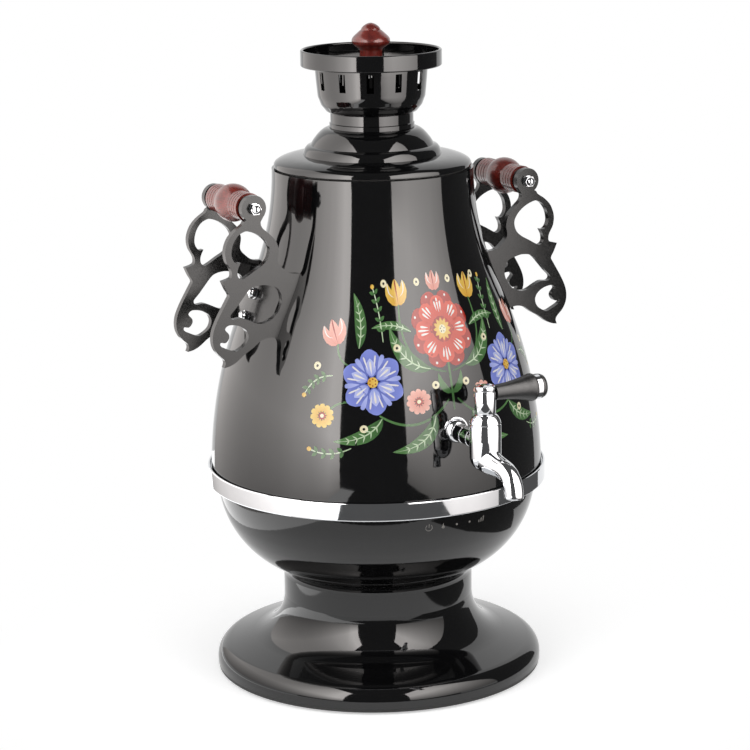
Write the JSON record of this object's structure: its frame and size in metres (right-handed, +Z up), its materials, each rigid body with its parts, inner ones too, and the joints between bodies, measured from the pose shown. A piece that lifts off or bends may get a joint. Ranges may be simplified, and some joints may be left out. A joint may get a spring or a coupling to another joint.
{
  "type": "electric samovar",
  "caption": "Electric samovar: pear-shaped lacquered urn on a flared foot, with a tap, scroll handles with turned grips, and a lift-off lid with a slotted crown, teapot dish and knob.",
  "frame": {"origin": "on the urn's vertical axis, in the plane of the four rubber feet's undersides", "axes": "+Z up along the urn's axis, the tap points to -Y, the two handles lie along X"},
  "size_m": [0.2882, 0.3191, 0.4712],
  "materials": {
    "black_lacquer": "gloss lacquer",
    "gloss_black_plastic": "gloss",
    "black_plastic": "moulded",
    "rubber": "matt",
    "zinc_steel": "zinc plated",
    "chrome": "polished",
    "stainless": "brushed",
    "aluminium": "cast",
    "satin_black_paint": "satin",
    "lacquered_wood": "lacquered",
    "matt_black_plastic": "matt",
    "dark_steel": "blackened",
    "brass": "turned",
    "board": "solder resist",
    "clear_plastic": "clear",
    "wire": "insulation"
  },
  "bodies": {
    "urn": {"base_plate": "black_plastic", "rubber_feet": "rubber", "base_plate_screws": "zinc_steel", "base_skirt": "black_lacquer", "pedestal_ring": "black_lacquer", "lower_bowl": "gloss_black_plastic", "tie_rods": "zinc_steel", "tie_rod_nuts": "zinc_steel", "chrome_band": "chrome", "body_shell": "black_lacquer", "inner_tank": "stainless", "heater_plate": "aluminium", "heater_element": "stainless", "heater_terminals": "stainless", "thermostat": "black_plastic", "thermal_fuse": "stainless", "heater_leads": "wire", "power_board": "board", "board_spacers": "brass", "board_screws": "zinc_steel", "touch_board": "board", "light_guide": "clear_plastic", "indicator_leds": "clear_plastic", "ribbon_cable": "wire", "power_inlet": "black_plastic", "inlet_pins": "brass", "inlet_screws": "zinc_steel", "inlet_leads": "wire", "left_bracket": "satin_black_paint", "right_bracket": "satin_black_paint", "left_grip": "lacquered_wood", "right_grip": "lacquered_wood", "grip_bolts": "zinc_steel", "grip_nuts": "chrome", "handle_bolts": "zinc_steel", "handle_nuts": "chrome", "tap_escutcheon": "chrome", "tap_shank": "dark_steel", "shank_gaskets": "rubber", "shank_nut": "brass", "tap_body": "chrome", "tap_bonnet": "chrome"},
    "tap_valve": {"valve_plug": "brass", "plug_seal": "rubber", "valve_head": "chrome", "tap_cap": "chrome", "tap_lever": "matt_black_plastic", "lever_ring": "chrome", "lever_end": "matt_black_plastic"},
    "lid": {"lid_cover": "black_lacquer", "lid_liner": "stainless", "lid_gasket": "rubber", "crown_cup": "black_lacquer", "crown_screws": "zinc_steel", "crown_dish": "black_lacquer", "dish_screws": "zinc_steel"},
    "crown_cap": {"cap_plate": "black_lacquer", "knob": "lacquered_wood", "knob_screw": "zinc_steel", "knob_washer": "zinc_steel"}
  },
  "joints": [
    {"name": "tap_lever_turn", "type": "hinge", "parent": "urn", "child": "tap_valve", "pos_m": [0, -0.1535, 0.2], "axis": [0, 0, -1], "range_deg": [0, 90]},
    {"name": "lid_lift", "type": "slide", "parent": "urn", "child": "lid", "axis": [0, 0, 1], "range_m": [0, 0.12]},
    {"name": "cap_lift", "type": "slide", "parent": "lid", "child": "crown_cap", "axis": [0, 0, 1], "range_m": [0, 0.05]}
  ]
}
